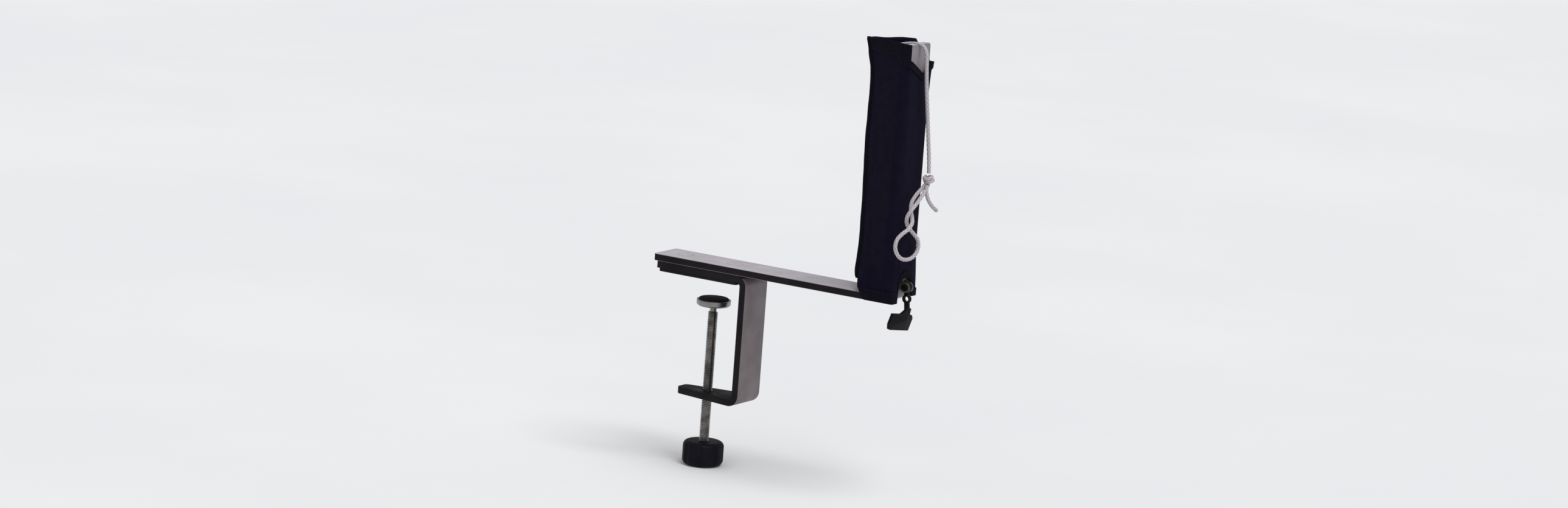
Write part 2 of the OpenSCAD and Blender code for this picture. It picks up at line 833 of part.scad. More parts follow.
module cord_knot() {
    color([0.80, 0.78, 0.78])
    translate(knot_at)
        sphere(r = knot_r, $fn = 24);
}

module cord_loop() {
    color([0.80, 0.78, 0.78])
    tube(smooth(loop_route, 2), cord_d / 2, cord_sides);
}

module cord_tail() {
    color([0.80, 0.78, 0.78])
    tube(smooth(tail_route, 2), cord_d / 2, cord_sides);
}

arm_and_upright();
clamp_bracket();
bracket_rivets();
table_pad();
lever_bracket();
lever_bracket_rivets();
lever_pin();
clamp_screw();
knob();
knob_cap();
swivel_washer();
thrust_cup();
thrust_pad();
tension_lever();
sleeve();
sleeve_top_hem();
sleeve_bottom_hem();
sleeve_seam_tape();
cord();
cord_knot();
cord_loop();
cord_tail();
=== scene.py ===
"""Table tennis net clamp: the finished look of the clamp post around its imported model.

Lengths are written in millimetres and made metres by MM. The frame is the model's own: the origin on the
table top on the screw's axis, +X out from the table, +Y along the table and +Z up.
"""
import math

import bmesh
import bpy
import numpy as np
from mathutils import Matrix, Vector, noise


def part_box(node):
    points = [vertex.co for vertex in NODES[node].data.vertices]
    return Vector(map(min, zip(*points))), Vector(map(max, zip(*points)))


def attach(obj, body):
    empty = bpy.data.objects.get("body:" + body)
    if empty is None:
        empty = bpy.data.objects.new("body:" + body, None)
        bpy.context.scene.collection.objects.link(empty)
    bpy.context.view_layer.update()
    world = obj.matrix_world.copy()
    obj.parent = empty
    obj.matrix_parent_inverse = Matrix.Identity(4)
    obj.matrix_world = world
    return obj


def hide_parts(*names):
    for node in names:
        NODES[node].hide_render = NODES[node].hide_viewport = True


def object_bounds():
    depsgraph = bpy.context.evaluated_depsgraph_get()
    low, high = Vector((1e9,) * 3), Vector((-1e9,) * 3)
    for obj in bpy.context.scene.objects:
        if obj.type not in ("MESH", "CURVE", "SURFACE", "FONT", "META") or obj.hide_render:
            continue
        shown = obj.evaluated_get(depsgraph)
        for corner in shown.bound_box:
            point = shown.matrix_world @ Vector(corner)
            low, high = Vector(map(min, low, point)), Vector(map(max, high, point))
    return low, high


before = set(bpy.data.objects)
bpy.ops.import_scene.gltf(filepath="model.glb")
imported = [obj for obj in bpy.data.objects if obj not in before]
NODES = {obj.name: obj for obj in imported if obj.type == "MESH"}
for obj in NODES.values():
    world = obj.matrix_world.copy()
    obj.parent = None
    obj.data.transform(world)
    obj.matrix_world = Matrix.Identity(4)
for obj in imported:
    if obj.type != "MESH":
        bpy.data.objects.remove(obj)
CAD_LO, CAD_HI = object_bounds()
SCENE = bpy.context.scene
MM = 0.001

# ---- sizes shared with the part, in millimetres ----

STRIP_W = 24.0
STRIP_T = 4.0
ARM_Z = 6.0
ARM_TOP = ARM_Z + STRIP_T
POST_X = 124.0
NET_H = 154.0
WEB_IN = 24.0

# ---- camera ----

CAM_FROM = Vector((1608.9, -2597.3, 578.2)) * MM
CAM_AT = Vector((45.0, 0.0, 21.0)) * MM
CAM_LEAN = math.radians(4.3)
IMAGE_WIDE, IMAGE_TALL = 2576, 834
FRAME_TALL = 292.0 * MM
FRAME_WIDE = FRAME_TALL * IMAGE_WIDE / IMAGE_TALL
SENSOR = 36.0


def make_camera():
    """A long lens on the net post; it leans a little, so that the post's top leans right."""
    data = bpy.data.cameras.new("camera")
    cam = bpy.data.objects.new("camera", data)
    SCENE.collection.objects.link(cam)
    ahead = (CAM_AT - CAM_FROM).normalized()
    right0 = ahead.cross(Vector((0, 0, 1))).normalized()
    up0 = right0.cross(ahead)
    up = up0 * math.cos(CAM_LEAN) - right0 * math.sin(CAM_LEAN)
    turn = Matrix((ahead.cross(up), up, -ahead)).transposed()
    cam.matrix_world = Matrix.Translation(CAM_FROM) @ turn.to_4x4()
    data.sensor_width = SENSOR
    data.lens = data.sensor_width * (CAM_AT - CAM_FROM).length / FRAME_WIDE
    data.clip_start, data.clip_end = 0.1, 50.0
    SCENE.camera = cam


make_camera()

# ---- cords: their routes are the part's own ----

CORD_D = 2.3
RING_STEP = 0.26
CORD_SIDES = 32
CURVE_STEPS = 12
STRANDS = 4
PICK = 2.6
STRAND_RELIEF = 0.11
MELTED_END = 1.0


def smooth(points, steps):
    """The part's own curve through the listed points."""
    p = [np.array(q, float) for q in points]
    out = []
    for i in range(len(p) - 1):
        a, b, c, d = p[max(i - 1, 0)], p[i], p[i + 1], p[min(i + 2, len(p) - 1)]
        for k in range(steps):
            t = k / steps
            out.append(0.5 * (2 * b + (c - a) * t + (2 * a - 5 * b + 4 * c - d) * t * t
                              + (3 * b - a - 3 * c + d) * t ** 3))
    out.append(p[-1])
    return np.array(out)


def evenly(line, step):
    """The line's points again, step apart."""
    along = np.r_[0, np.cumsum(np.linalg.norm(np.diff(line, axis=0), axis=1))]
    count = max(2, int(round(along[-1] / step)) + 1)
    at = np.linspace(0, along[-1], count)
    return np.array([np.interp(at, along, line[:, k]) for k in range(3)]).T


def length_of(line):
    return float(np.linalg.norm(np.diff(line, axis=0), axis=1).sum())


def by_upright(route):
    """A route whose points were given from the top of the post's outer face."""
    return [(POST_X + x, y, NET_H + z) for x, y, z in route]


CORD_ROUTE = by_upright([
    (-25, 0, -6.3), (-21, 0, -4.8), (-17, 0, -3.4), (-10, 0, -1.2), (-4.5, -0.1, -0.2), (0, -0.2, -0.1),
    (3, -0.5, -1.3), (4.9, -0.8, -3.9), (5.6, -1, -8), (5.9, -0.8, -14), (6.3, 0.2, -24), (6.9, 2, -37),
    (7.7, 4, -52), (8.6, 5.4, -66), (9, 5.6, -73)])
LOOP_ROUTE = by_upright([
    (8.4, 4.2, -79.4), (7.2, 1.2, -82.2), (6, -2.2, -85.6), (5.4, -5, -89.4), (6, -6.3, -93.2),
    (7.4, -6.9, -96.8), (8.9, -8.8, -100.2), (9, -12.6, -103.2), (7.6, -16.4, -105.6), (6.1, -19.2, -108.8),
    (5.6, -19.9, -113), (5.6, -17.6, -117.2), (5.8, -13, -120.4), (6, -7.2, -121.8), (6.4, -1.6, -121.3),
    (6.8, 2.4, -118.8), (7, 3.8, -115), (6.7, 2.6, -111), (6, -0.8, -107.8), (5.4, -4.8, -104.6),
    (5.2, -8.2, -101), (6.2, -10.1, -97), (8, -9.6, -93.2), (9.2, -6.8, -89.8), (9.7, -3, -86.4),
    (9.8, 1, -83.2), (9.7, 4.2, -80.2)])
TAIL_ROUTE = by_upright([(9.9, 2.6, -79.6), (10.5, 2, -83.4), (11.2, 3.6, -87.8), (11.9, 7.4, -91.8),
                         (12.6, 12.2, -95)])
KNOT_AT = np.array([POST_X + 9.3, 5.6, NET_H - 76.8])


def new_piece(name, bm, body=None):
    """A finished mesh object at the origin, riding on its body."""
    mesh = bpy.data.meshes.new(name)
    bm.to_mesh(mesh)
    bm.free()
    piece = bpy.data.objects.new(name, mesh)
    SCENE.collection.objects.link(piece)
    if body:
        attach(piece, body)
    return piece


def shade(piece, angle=30):
    piece.data.shade_smooth()
    piece.data.set_sharp_from_angle(angle=math.radians(angle))


def frames_along(line):
    """Direction and two normals at each point, carried along without twist."""
    ahead = np.gradient(line, axis=0)
    ahead /= np.linalg.norm(ahead, axis=1)[:, None]
    side = np.cross(ahead[0], [0, 1, 0])
    sides = []
    for d in ahead:
        side = side - (side @ d) * d
        side = side / np.linalg.norm(side)
        sides.append(side)
    sides = np.array(sides)
    return ahead, sides, np.cross(ahead, sides)


def weave_height(p, q):
    """Height, 0 to 1, of a plain weave whose threads are one unit apart in p and q."""
    over = max(math.sin(math.pi * (p + math.floor(q))), 0) * abs(math.sin(math.pi * q))
    under = max(math.sin(math.pi * (q + math.floor(p) + 1)), 0) * abs(math.sin(math.pi * p))
    return math.sqrt(max(over, under))


def braided(name, line, radius, melt=0.0):
    """A braided cord as a tube on a line. Its strands stand out, and melt rounds its far end over that
    length. Its map counts strands round it and picks along it."""
    line = evenly(np.array(line), RING_STEP)
    _, side, across = frames_along(line)
    rings, total = len(line), length_of(line)
    bm = bmesh.new()
    chart = bm.loops.layers.uv.new("UVMap")
    bmesh.ops.create_grid(bm, x_segments=CORD_SIDES, y_segments=rings - 1, size=1.0)
    spot = {}
    for v in bm.verts:
        spot[v] = (round((v.co.x + 1) / 2 * CORD_SIDES), round((v.co.y + 1) / 2 * (rings - 1)))
    for face in bm.faces:
        for corner in face.loops:
            i, j = spot[corner.vert]
            corner[chart].uv = (i / CORD_SIDES * STRANDS, j / (rings - 1) * total / PICK)
    for v, (i, j) in spot.items():
        turn, run = 2 * math.pi * i / CORD_SIDES, total * j / (rings - 1)
        around, along = STRANDS * i / CORD_SIDES, run / PICK
        r = radius * (1 - STRAND_RELIEF + STRAND_RELIEF * weave_height(around + along, around - along))
        left = total - run
        if left < melt:
            r *= math.sqrt(max(0.02, 1 - (1 - left / melt) ** 2))
        v.co = Vector(line[j] + r * (math.cos(turn) * side[j] + math.sin(turn) * across[j])) * MM
    bmesh.ops.remove_doubles(bm, verts=bm.verts, dist=1e-7)
    bmesh.ops.holes_fill(bm, edges=[e for e in bm.edges if e.is_boundary], sides=0)
    bmesh.ops.recalc_face_normals(bm, faces=bm.faces)
    piece = new_piece(name, bm, "sleeve")
    shade(piece, 70)
    return piece, line


KNOT_R = 2.15
KNOT_TOP, KNOT_DROP = 2.3, 4.4
KNOT_FROM, KNOT_SWEEP = -200, 830
KNOT_TUCK = 0.12
KNOT_LEAN_X, KNOT_LEAN_Y = 24, -14
KNOT_STEPS = 60


def knot_line():
    """The knot: rather over two turns laid round the strands, leaning, with both ends tucked under."""
    points = []
    for k in range(KNOT_STEPS + 1):
        t = k / KNOT_STEPS
        turn = math.radians(KNOT_FROM + KNOT_SWEEP * t)
        tuck = min(1.0, min(t, 1 - t) / KNOT_TUCK)
        r = KNOT_R * (0.35 + 0.65 * math.sin(math.pi / 2 * tuck))
        points.append([r * math.cos(turn), r * math.sin(turn), KNOT_TOP - KNOT_DROP * t])
    lean_x = Matrix.Rotation(math.radians(KNOT_LEAN_X), 3, "X")
    lean_y = Matrix.Rotation(math.radians(KNOT_LEAN_Y), 3, "Y")
    return np.array(points) @ np.array(lean_x @ lean_y).T + KNOT_AT


cord, cord_line = braided("net_cord", smooth(CORD_ROUTE, CURVE_STEPS), CORD_D / 2)
loop, loop_line = braided("cord_end_loop", smooth(LOOP_ROUTE, CURVE_STEPS), CORD_D / 2)
tail, _ = braided("cord_free_end", smooth(TAIL_ROUTE, CURVE_STEPS), CORD_D / 2, melt=MELTED_END)
knot, _ = braided("cord_tied_knot", knot_line(), CORD_D / 2)
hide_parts("cord")
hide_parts("cord_loop")
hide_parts("cord_tail")
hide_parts("cord_knot")


# ---- shader groups that several finishes use ----


def linear(r, g, b):
    """A colour on the 0 to 255 scale as the shader's linear one."""
    out = []
    for c in (r, g, b):
        c /= 255
        out.append(c / 12.92 if c <= 0.04045 else ((c + 0.055) / 1.055) ** 2.4)
    return (*out, 1.0)


def group(name, inputs, outputs):
    tree = bpy.data.node_groups.new(name, "ShaderNodeTree")
    for label, kind, value in inputs:
        socket = tree.interface.new_socket(label, in_out="INPUT", socket_type=kind)
        if value is not None:
            socket.default_value = value
    for label, kind in outputs:
        tree.interface.new_socket(label, in_out="OUTPUT", socket_type=kind)
    return tree, tree.nodes.new("NodeGroupInput"), tree.nodes.new("NodeGroupOutput")


def node(tree, kind, settings=(), inputs=()):
    n = tree.nodes.new(kind)
    for key, value in dict(settings).items():
        setattr(n, key, value)
    for key, value in dict(inputs).items():
        if isinstance(value, bpy.types.NodeSocket):
            tree.links.new(value, n.inputs[key])
        else:
            n.inputs[key].default_value = value
    return n


def math_node(tree, operation, a, b=0.0):
    n = node(tree, "ShaderNodeMath", {"operation": operation}, {0: a, 1: b})
    return n.outputs[0]


def mix_colour(tree, factor, a, b):
    n = node(tree, "ShaderNodeMix", {"data_type": "RGBA"}, {0: factor, 6: a, 7: b})
    return n.outputs[2]


def ramp(tree, value, low, high):
    n = node(tree, "ShaderNodeMapRange", {"interpolation_type": "SMOOTHSTEP"},
             {0: value, 1: low, 2: high, 3: 0.0, 4: 1.0})
    return n.outputs[0]


def build_grain():
    """Fine orange-peel and blotches of a lacquered or moulded surface."""
    tree, inside, out = group("surface_grain", [
        ("Vector", "NodeSocketVector", None), ("Grain", "NodeSocketFloat", 900.0),
        ("Blotch", "NodeSocketFloat", 60.0)],
        [("Height", "NodeSocketFloat"), ("Tone", "NodeSocketFloat")])
    fine = node(tree, "ShaderNodeTexNoise", {}, {"Vector": inside.outputs["Vector"],
                "Scale": inside.outputs["Grain"], "Detail": 3.0, "Roughness": 0.6})
    broad = node(tree, "ShaderNodeTexNoise", {}, {"Vector": inside.outputs["Vector"],
                 "Scale": inside.outputs["Blotch"], "Detail": 4.0, "Roughness": 0.55})
    tree.links.new(fine.outputs[0], out.inputs["Height"])
    tree.links.new(ramp(tree, broad.outputs[0], 0.3, 0.7), out.inputs["Tone"])
    return tree


UNWORN, WORN_SPAN, CHIP_SOFT = 0.78, 0.56, 0.06


def build_wear():
    """Mask of chips and rubbed spots: Amount 0 is none and 1 is bare."""
    tree, inside, out = group("rubbed_wear", [
        ("Vector", "NodeSocketVector", None), ("Scale", "NodeSocketFloat", 240.0),
        ("Amount", "NodeSocketFloat", 0.4)], [("Mask", "NodeSocketFloat")])
    chips = node(tree, "ShaderNodeTexNoise", {}, {"Vector": inside.outputs["Vector"],
                 "Scale": inside.outputs["Scale"], "Detail": 6.0, "Roughness": 0.7})
    lower = math_node(tree, "MULTIPLY", inside.outputs["Amount"], WORN_SPAN)
    edge = math_node(tree, "SUBTRACT", UNWORN, lower)
    over = math_node(tree, "SUBTRACT", chips.outputs[0], edge)
    tree.links.new(ramp(tree, over, 0.0, CHIP_SOFT), out.inputs["Mask"])
    return tree


def build_weave():
    """Plain weave from the piece's own map: crossing threads, their gaps and an uneven dye."""
    tree, inside, out = group("plain_weave", [
        ("Map", "NodeSocketVector", None), ("Threads", "NodeSocketFloat", 22.0)],
        [("Height", "NodeSocketFloat"), ("Gap", "NodeSocketFloat"), ("Dye", "NodeSocketFloat")])
    cut = node(tree, "ShaderNodeSeparateXYZ", {}, {0: inside.outputs["Map"]})
    pair = []
    for axis, other, shift in (("X", "Y", 0.0), ("Y", "X", 1.0)):
        run = math_node(tree, "MULTIPLY", cut.outputs[axis], inside.outputs["Threads"])
        over = math_node(tree, "MULTIPLY", cut.outputs[other], inside.outputs["Threads"])
        parity = math_node(tree, "ADD", math_node(tree, "FLOOR", over), shift)
        step = math_node(tree, "MULTIPLY", parity, math.pi)
        phase = math_node(tree, "ADD", math_node(tree, "MULTIPLY", run, math.pi), step)
        wave = math_node(tree, "SINE", phase)
        hump = math_node(tree, "SINE", math_node(tree, "MULTIPLY", over, math.pi))
        round_top = math_node(tree, "ABSOLUTE", hump)
        pair.append(math_node(tree, "MULTIPLY", math_node(tree, "MAXIMUM", wave, 0.0), round_top))
    high = math_node(tree, "MAXIMUM", pair[0], pair[1])
    dye = node(tree, "ShaderNodeTexNoise", {}, {"Vector": inside.outputs["Map"], "Scale": 1.6, "Detail": 5.0})
    tree.links.new(high, out.inputs["Height"])
    tree.links.new(math_node(tree, "SUBTRACT", 1.0, high), out.inputs["Gap"])
    tree.links.new(ramp(tree, dye.outputs[0], 0.25, 0.75), out.inputs["Dye"])
    return tree


GRAIN, WEAR, WEAVE = build_grain(), build_wear(), build_weave()


def start_material(name, shader):
    made = bpy.data.materials.new(name)
    made.use_nodes = True
    tree = made.node_tree
    bsdf = tree.nodes["Principled BSDF"]
    for key, value in shader.items():
        bsdf.inputs[key].default_value = value
    return made, tree, bsdf


def place(tree, which, **inputs):
    n = tree.nodes.new("ShaderNodeGroup")
    n.node_tree = which
    for key, value in inputs.items():
        if isinstance(value, bpy.types.NodeSocket):
            tree.links.new(value, n.inputs[key])
        else:
            n.inputs[key].default_value = value
    return n


BARE_ROUGH = 0.38
# Near-black painted shade for the gaps between a weave's threads, and its share; SOIL_SHARE is how much dirt
# tones the cord.
GAP_SHADE_COLOUR = (0.002, 0.002, 0.003, 1)
GAP_SHADE_SHARE, SOIL_SHARE = 0.45, 0.2
WEAVE_DEPTH = 0.12


def hard_finish(name, colour, deep, rough=(0.35, 0.5), bare=None, worn=0.0, grain=900.0, depth=0.02,
                metallic=0.0, blotch=60.0, wear_scale=240.0, **shader):
    """Lacquer, plating, rubber or moulded plastic: two tones of colour, a roughness range, grain and wear."""
    made, tree, bsdf = start_material(name, {"Metallic": metallic, **shader})
    where = tree.nodes.new("ShaderNodeTexCoord").outputs["Object"]
    surface = place(tree, GRAIN, Vector=where, Grain=grain, Blotch=blotch)
    tint = mix_colour(tree, surface.outputs["Tone"], deep, colour)
    gloss_range = {0: surface.outputs["Tone"], 3: rough[1], 4: rough[0]}
    gloss = node(tree, "ShaderNodeMapRange", {}, gloss_range).outputs[0]
    if bare:
        chips = place(tree, WEAR, Vector=where, Scale=wear_scale, Amount=worn).outputs["Mask"]
        tint = mix_colour(tree, chips, tint, bare)
        gloss = node(tree, "ShaderNodeMix", {}, {0: chips, 2: gloss, 3: BARE_ROUGH}).outputs[0]
        if not metallic:
            tree.links.new(chips, bsdf.inputs["Metallic"])
    bump = node(tree, "ShaderNodeBump", {}, {"Strength": 0.6, "Distance": depth * MM,
                "Height": surface.outputs["Height"]})
    tree.links.new(tint, bsdf.inputs["Base Color"])
    tree.links.new(gloss, bsdf.inputs["Roughness"])
    tree.links.new(bump.outputs[0], bsdf.inputs["Normal"])
    return made


def cloth_finish(name, colour, deep, threads=22.0):
    """Plain woven cloth, darkened between its threads as painted shade. threads is how many lie in 10 mm."""
    made, tree, bsdf = start_material(name, {"Roughness": 0.9, "Specular IOR Level": 0.06})
    chart = tree.nodes.new("ShaderNodeUVMap")
    chart.uv_map = "UVMap"
    weave = place(tree, WEAVE, Map=chart.outputs[0], Threads=threads)
    tint = mix_colour(tree, weave.outputs["Dye"], deep, colour)
    # Painted shade: the gaps between threads are mixed toward near-black.
    gaps = math_node(tree, "MULTIPLY", weave.outputs["Gap"], GAP_SHADE_SHARE)
    dark = mix_colour(tree, gaps, tint, GAP_SHADE_COLOUR)
    bump = node(tree, "ShaderNodeBump", {}, {"Strength": 0.7, "Distance": WEAVE_DEPTH * MM,
                "Height": weave.outputs["Height"]})
    tree.links.new(dark, bsdf.inputs["Base Color"])
    tree.links.new(bump.outputs[0], bsdf.inputs["Normal"])
    return made


def cord_finish(name, colour, deep):
    """Braided cord: the gaps between its strands are darker, as painted shade. Its map counts strands round
    it and along it.
    """
    made, tree, bsdf = start_material(name, {"Roughness": 0.85, "Specular IOR Level": 0.25,
                                             "Sheen Weight": 0.15})
    chart = tree.nodes.new("ShaderNodeUVMap")
    chart.uv_map = "UVMap"
    cut = node(tree, "ShaderNodeSeparateXYZ", {}, {0: chart.outputs[0]})
    lean = node(tree, "ShaderNodeCombineXYZ", {}, {
        0: math_node(tree, "ADD", cut.outputs[0], cut.outputs[1]),
        1: math_node(tree, "SUBTRACT", cut.outputs[0], cut.outputs[1])})
    weave = place(tree, WEAVE, Map=lean.outputs[0], Threads=1.0)
    where = tree.nodes.new("ShaderNodeTexCoord").outputs["Object"]
    soil = place(tree, GRAIN, Vector=where, Grain=5200.0, Blotch=110.0)
    # Painted shade: the gaps between the strands take the deep colour.
    tint = mix_colour(tree, ramp(tree, weave.outputs["Gap"], 0.55, 1.0), colour, deep)
    tint = mix_colour(tree, math_node(tree, "MULTIPLY", soil.outputs["Tone"], SOIL_SHARE), tint, deep)
    bump = node(tree, "ShaderNodeBump", {}, {"Strength": 0.5, "Distance": 0.05 * MM,
                "Height": soil.outputs["Height"]})
    tree.links.new(tint, bsdf.inputs["Base Color"])
    tree.links.new(bump.outputs[0], bsdf.inputs["Normal"])
    return made


STEEL = linear(150, 148, 146)
FINISH = {
    "silver": hard_finish(
        "silver_lacquer", linear(186, 180, 186), linear(174, 168, 174), (0.4, 0.52), STEEL, 0.1),
    # A darker copy of the silver lacquer for the faces looking out along +X, up the post's outer side:
    # painted shade.
    "painted_shade_silver": hard_finish(
        "painted_shade_silver_lacquer", linear(134, 127, 132), linear(122, 116, 120), (0.46, 0.58), STEEL, 0.1),
    # The bracket web's outer side: the strip's silver darkened, with a warm tone, as painted shade of the
    # table above it.
    "grey": hard_finish(
        "painted_shade_grey_lacquer", linear(113, 103, 106), linear(102, 93, 96), (0.44, 0.56), STEEL, 0.08),
    # Black lacquer on the strip's cut edges and underside; on the bracket's inner side and lower flange the
    # same black is painted shadow under the table.
    "black": hard_finish(
        "black_lacquer_and_painted_shade", linear(28, 24, 27), linear(21, 18, 20), (0.52, 0.64), STEEL, 0.05,
        **{"Specular IOR Level": 0.12}),
    "edge": hard_finish(
        "rubbed_edge", linear(35, 31, 34), linear(26, 23, 25), (0.48, 0.6), STEEL, 0.24,
        wear_scale=420.0, **{"Specular IOR Level": 0.15}),
    "silver_edge": hard_finish(
        "rubbed_silver_edge", linear(150, 145, 150), linear(120, 114, 118), (0.38, 0.48), STEEL, 0.4,
        wear_scale=420.0),
    "rivet": hard_finish(
        "rivet_steel", linear(168, 164, 166), linear(140, 136, 138), (0.32, 0.45), metallic=0.9),
    "rubber": hard_finish(
        "pad_rubber", linear(30, 29, 32), linear(23, 22, 25), (0.8, 0.92), depth=0.05,
        **{"Specular IOR Level": 0.2}),
    # Steel darkened part way toward the table's shadow on the screw's upper part: painted shade over the
    # steel's own colour.
    "screw": hard_finish(
        "steel_thread_and_painted_shade", linear(158, 155, 152), linear(106, 104, 102), (0.28, 0.42),
        metallic=1.0, blotch=180.0),
    "knob": hard_finish(
        "moulded_black_knob", linear(10, 9, 21), linear(7, 6, 14), (0.52, 0.64), grain=1400.0,
        depth=0.03, **{"Specular IOR Level": 0.13}),
    "foot": hard_finish(
        "pressed_steel", linear(166, 163, 160), linear(138, 135, 133), (0.3, 0.42), metallic=1.0),
    # Zinc darkened all over as painted shade on the hinge bracket's ears.
    "zinc": hard_finish(
        "zinc_darkened_as_painted_shade", linear(106, 112, 98), linear(76, 80, 71), (0.4, 0.52), metallic=0.9,
        blotch=220.0),
    "lever": hard_finish(
        "lever_black", linear(19, 15, 18), linear(13, 10, 12), (0.55, 0.68), STEEL, 0.05,
        **{"Specular IOR Level": 0.08}),
    "cloth": cloth_finish("sleeve_cloth", linear(24, 21, 42), linear(18, 16, 34)),
    "hem": cloth_finish("hem_cloth", linear(22, 20, 33), linear(17, 16, 26), threads=16.0),
    "thread": hard_finish(
        "stitch_thread", linear(34, 31, 46), linear(25, 22, 34), (0.6, 0.75),
        **{"Specular IOR Level": 0.1}),
    "cord": cord_finish("braided_cord", linear(194, 188, 193), linear(145, 138, 144)),
}


def dress(piece, *names):
    for name in names:
        piece.data.materials.append(FINISH[name])


for piece in (cord, loop, tail, knot):
    dress(piece, "cord")

# ---- steel, rubber and moulded pieces: the part's solids with broken edges ----


WELD = 4e-6
FLAT_ENOUGH = 0.4
ROUND_STEPS = 2


def broken_edges(name, nodes, body, width, choose, finishes, sharp=28):
    """A merged copy of CAD nodes with their sharp edges rounded. choose gives a face's finish number from its
    normal and centre in millimetres; the rounded edges take the last finish."""
    bm = bmesh.new()
    for n in nodes:
        bm.from_mesh(NODES[n].data)
    bmesh.ops.remove_doubles(bm, verts=bm.verts, dist=WELD)
    bmesh.ops.dissolve_limit(bm, angle_limit=math.radians(FLAT_ENOUGH), verts=bm.verts, edges=bm.edges)
    bm.normal_update()
    for face in bm.faces:
        face.material_index = choose(face.normal, face.calc_center_median() / MM)
    keen = [e for e in bm.edges if len(e.link_faces) == 2 and e.calc_face_angle(0) > math.radians(sharp)]
    rounded = bmesh.ops.bevel(bm, geom=keen, offset=width * MM, offset_type="OFFSET", affect="EDGES",
                              segments=ROUND_STEPS, profile=0.5, clamp_overlap=True, material=-1)
    for face in rounded["faces"]:
        face.material_index = len(finishes) - 1
    piece = new_piece(name, bm, body)
    dress(piece, *finishes)
    shade(piece)
    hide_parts(*nodes)


def arm_faces(normal, centre):
    """Broad faces of the bent strip are silver; up the post's outer side they take a darker copy of it as
    painted shade. Its cut edges, underside and inboard end are black."""
    cut_side = abs(normal.y) > 0.5
    underside = normal.z < -0.5 and centre.z < ARM_Z + 0.1
    inboard_end = normal.x < -0.5 and centre.x < -30
    if cut_side or underside or inboard_end:
        return 1
    # Faces looking out along +X take the darker copy of the silver: painted shade.
    return 2 if normal.x > 0.7 else 0


def bracket_faces(normal, centre):
    """The web's outer side is grey, the strip's silver darkened as painted shade of the table above;
    everything
    else is black: the cut edges as lacquer, the inner side and lower flange as painted shadow under the
    table.
    """
    outside = normal.x > 0.2 and centre.x > WEB_IN + 1.5
    return 0 if outside else 1


def rivet_faces(normal, centre):
    """The rivets were lacquered with the strip."""
    return 0 if centre.z > ARM_Z else 1


def plain(normal, centre):
    """The whole piece has its first finish."""
    return 0


broken_edges("arm_and_post_strip", ["arm_and_upright"], "frame", 0.35, arm_faces,
             ["silver", "black", "painted_shade_silver", "silver_edge"])
broken_edges("c_bracket_strip", ["clamp_bracket"], "frame", 0.4, bracket_faces,
             ["grey", "black", "edge"])
broken_edges("flush_rivets", ["bracket_rivets"], "frame", 0.1, rivet_faces,
             ["silver", "black", "silver_edge"])
broken_edges("table_pad_rubber", ["table_pad"], "frame", 0.3, plain, ["rubber", "rubber"])
broken_edges("hinge_bracket_plate", ["lever_bracket"], "frame", 0.15, plain, ["zinc", "zinc"])
broken_edges("hinge_rivets", ["lever_bracket_rivets"], "frame", 0.06, plain, ["rivet", "rivet"])
broken_edges("hinge_pin", ["lever_pin"], "frame", 0.06, plain, ["lever", "lever"])
broken_edges("fluted_knob", ["knob"], "screw", 0.5, plain, ["knob", "knob"], sharp=40)
broken_edges("knob_end_cap", ["knob_cap"], "screw", 0.2, plain, ["knob", "knob"])
broken_edges("thrust_cup_pressed", ["thrust_cup"], "foot", 0.2, plain, ["foot", "foot"])
broken_edges("thrust_pad_rubber", ["thrust_pad"], "foot", 0.2, plain, ["rubber", "rubber"])
broken_edges("swivel_washer_steel", ["swivel_washer"], "screw", 0.08, plain, ["foot", "foot"])
broken_edges("tension_lever_steel", ["tension_lever"], "lever", 0.3, plain, ["lever", "edge"])

# ---- clamping screw with its thread ----

SCREW_R = 2.95
PITCH = 1.0
THREAD_DEEP = 0.5
THREAD_TURNS = 79
TURN_STEPS = 20
KNOB_TOP = -97.0
IN_KNOB = 3.0
NECK_R = 1.95
TIP_R = 2.9
HEAD_R, HEAD_TALL, HEAD_CHAMFER = 5.77, 4.0, 0.4
CREST_END, ROOT_START, ROOT_END = 0.12, 0.46, 0.62
CORE_STEPS = 36


